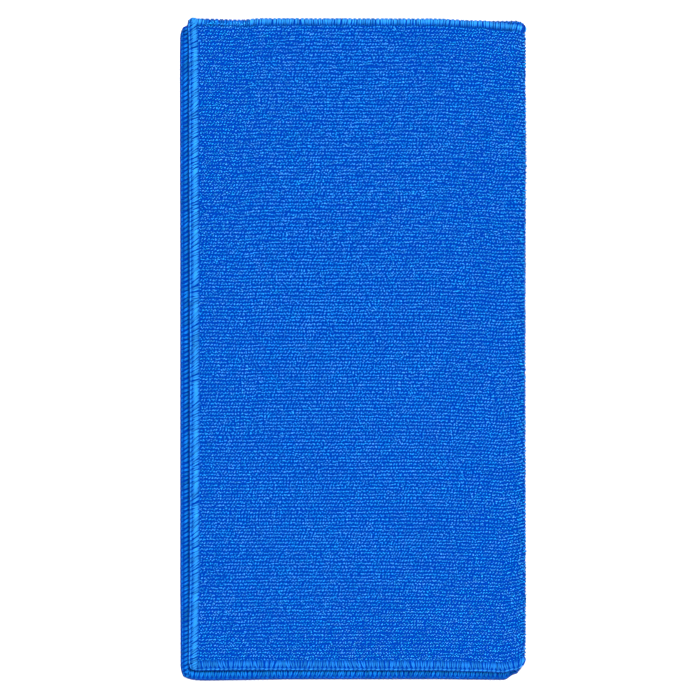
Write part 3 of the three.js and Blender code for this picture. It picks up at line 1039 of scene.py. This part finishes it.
class BuildLoops(bpy.types.Operator):
    """Sets rows of soft loops on the upper layer, round the fold and under the lower layer"""
    bl_idname = "cloth.build_loops"
    bl_label = "Loops"

    def execute(self, context):
        pile = context.scene.cloth_pile
        material = loop_material(context.scene.cloth_colours)

        def add_loops(name, places, here, rings):
            """One piece of the loops whose places `here` picks out."""
            piece = loop_mesh(name, [values[here] for values in places], pile, rng, rings)
            finish_piece(piece, material)

        rng = np.random.default_rng(PILE_SEED)
        places = loop_places(0.0, FOLD_MIDDLE, pile, rng, UPPER_WAVES)
        up = places[1]
        bounds = np.linspace(0, CLOTH_HEIGHT, LOOP_PIECES + 1)
        for number, (low, high) in enumerate(zip(bounds[:-1], bounds[1:]), 1):
            add_loops(f"loops_upper_{number}", places, (up >= low) & (up < high), UPPER_RINGS)
        places = loop_places(FOLD_MIDDLE, FLAT_WIDTH, pile, rng, UNDER_WAVES)
        up = places[1]
        thinned = rng.uniform(size=up.size) < UNDER_SHARE
        front = up < CLOTH_HEIGHT / 2
        add_loops("loops_under_1", places, thinned & front, UNDER_RINGS)
        add_loops("loops_under_2", places, thinned & ~front, UNDER_RINGS)
        return {"FINISHED"}


class BuildHemThread(bpy.types.Operator):
    """Sews the overlock seam over all four edges, on both faces of the cloth"""
    bl_idname = "cloth.build_hem_thread"
    bl_label = "Hem thread"

    def execute(self, context):
        thread = context.scene.cloth_thread
        colours = context.scene.cloth_colours
        rng = np.random.default_rng(THREAD_SEED)
        outer = []
        for edge in (UPPER_FREE, BACK, LOWER_FREE, FRONT):
            outer.append(hem_strands(edge, OUTSIDE, thread, rng, SEEN_SHARES, SEEN_SIDES))
            outer.append(hem_purl(edge, OUTSIDE, thread, rng))
            outer.append(hem_needle_line(edge, OUTSIDE, thread, rng))
        material = thread_material("overlock_thread", colours.thread, colours.thread_deep, colours)
        finish_piece(joined("hem_thread_outer", outer), material)

        # Inside, only the lower layer's seam shows, and the front and back ones beyond the fold
        hidden = HIDDEN_SHARES, HIDDEN_SIDES
        seen = SEEN_SHARES, SEEN_SIDES
        inner = [hem_strands(UPPER_FREE, INSIDE, thread, rng, *hidden),
                 hem_strands(LOWER_FREE, INSIDE, thread, rng, *seen)]
        for edge in END_EDGES:
            inner.append(hem_strands(edge, INSIDE, thread, rng, *hidden, 0.0, FOLD_MIDDLE))
            inner.append(hem_strands(edge, INSIDE, thread, rng, *seen, FOLD_MIDDLE))
        for edge in (UPPER_FREE, BACK, LOWER_FREE, FRONT):
            inner.append(hem_purl(edge, INSIDE, thread, rng))
        # The inner face's thread is a darker copy of the outer one's: painted shade under the
        # upper layer
        material = thread_material("overlock_thread_inner", colours.inner_thread,
                                   colours.inner_thread_deep, colours)
        finish_piece(joined("hem_thread_inner", inner), material)
        return {"FINISHED"}


class BuildGround(bpy.types.Operator):
    """Lays the folded ground cloth that carries the loops and the seam"""
    bl_idname = "cloth.build_ground"
    bl_label = "Ground cloth"

    def execute(self, context):
        hem = list(zip(np.diff(HEM_PROFILE["from_edge"]), HEM_STEPS))
        approach = (FOLD_SWELL_REACH, APPROACH_STEPS)
        layers = [(length - HEM_REACH - FOLD_SWELL_REACH, LAYER_STEPS)
                  for length in (UPPER_LENGTH, LOWER_LENGTH)]
        across = grid_lines([*hem, layers[0], approach, (FOLD_LENGTH, FOLD_STEPS), approach,
                             layers[1], *hem[::-1]])
        up = grid_lines([*hem, (CLOTH_HEIGHT - 2 * HEM_REACH, HEIGHT_STEPS), *hem[::-1]])
        points, quads = sheet_shell(across, up, half_ground)
        piece = add_mesh("ground_cloth", points, quads)
        finish_piece(piece, ground_material(context.scene.cloth_colours))
        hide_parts("cloth")
        return {"FINISHED"}


class BuildStage(bpy.types.Operator):
    """Adds the white floor, the soft lights and the camera over the cloth"""
    bl_idname = "cloth.build_stage"
    bl_label = "Stage"

    def execute(self, context):
        scene = context.scene
        stage = scene.cloth_stage
        corners = [(x * FLOOR_HALF, y * FLOOR_HALF, -FLOOR_DROP)
                   for x, y in ((-1, -1), (1, -1), (1, 1), (-1, 1))]
        floor = add_mesh("floor", corners, [(0, 1, 2, 3)])
        floor.data.materials.append(floor_material(stage))

        back, front = math.pi / 2 - stage.lean, -math.pi / 2 + stage.lean
        for name, strength, elevation, heading in (
                ("key", stage.key_strength, stage.key_elevation, back),
                ("fill", stage.fill_strength, stage.fill_elevation, front)):
            light = bpy.data.lights.new(name, "SUN")
            light.energy = strength
            light.angle = stage.softness
            lamp = bpy.data.objects.new(name, light)
            lamp.rotation_euler = (0, math.pi / 2 - elevation, heading)
            scene.collection.objects.link(lamp)

        world = bpy.data.worlds.new("white_room")
        world.use_nodes = True
        background = world.node_tree.nodes["Background"]
        background.inputs["Color"].default_value = (1, 1, 1, 1)
        background.inputs["Strength"].default_value = stage.surround
        scene.world = world

        lens = bpy.data.cameras.new("camera")
        lens.sensor_width = SENSOR_WIDTH
        lens.lens = SENSOR_WIDTH * stage.camera_height / stage.framed_width
        lens.clip_end = FAR_CLIP
        camera = bpy.data.objects.new("camera", lens)
        middle = (CAD_BOX[0][2] + CAD_BOX[1][2]) / 2
        camera.location = (stage.aim_x, stage.aim_y, stage.camera_height + middle)
        scene.collection.objects.link(camera)
        scene.camera = camera
        scene.view_settings.view_transform = "Standard"
        return {"FINISHED"}


class ClothPanel(bpy.types.Panel):
    """Lists the cloth's settings and the steps that build it"""
    bl_label = "Folded Microfibre Cloth"
    bl_idname = "VIEW3D_PT_microfibre_cloth"
    bl_space_type = "VIEW_3D"
    bl_region_type = "UI"
    bl_category = "Cloth"

    def draw(self, context):
        for title, group, steps in PANEL_ROWS:
            box = self.layout.box()
            box.label(text=title)
            settings = getattr(context.scene, group)
            for key in settings.bl_rna.properties.keys():
                if key not in ("rna_type", "name"):
                    box.prop(settings, key)
            for step in steps:
                box.operator(step.bl_idname)


SETTINGS = {
    "cloth_pile": PileSettings,
    "cloth_thread": ThreadSettings,
    "cloth_colours": ColourSettings,
    "cloth_stage": StageSettings,
}
STEPS = (BuildLoops, BuildHemThread, BuildGround, BuildStage)
PANEL_ROWS = (
    ("Pile", "cloth_pile", (BuildLoops, BuildGround)),
    ("Hem", "cloth_thread", (BuildHemThread,)),
    ("Colours", "cloth_colours", ()),
    ("Stage", "cloth_stage", (BuildStage,)),
)


def register():
    """Makes the settings, the steps and the panel known, and gives each scene its settings."""
    for cls in (*SETTINGS.values(), *STEPS, ClothPanel):
        bpy.utils.register_class(cls)
    for name, group in SETTINGS.items():
        setattr(bpy.types.Scene, name, PointerProperty(type=group))


def unregister():
    """Takes all of them away again, the last one first."""
    for name in SETTINGS:
        delattr(bpy.types.Scene, name)
    for cls in (ClothPanel, *reversed(STEPS), *reversed(SETTINGS.values())):
        bpy.utils.unregister_class(cls)


def main():
    """Builds every piece."""
    register()
    bpy.ops.cloth.build_loops()
    bpy.ops.cloth.build_hem_thread()
    bpy.ops.cloth.build_ground()
    bpy.ops.cloth.build_stage()
    bpy.context.view_layer.update()


if __name__ == "__main__":
    main()
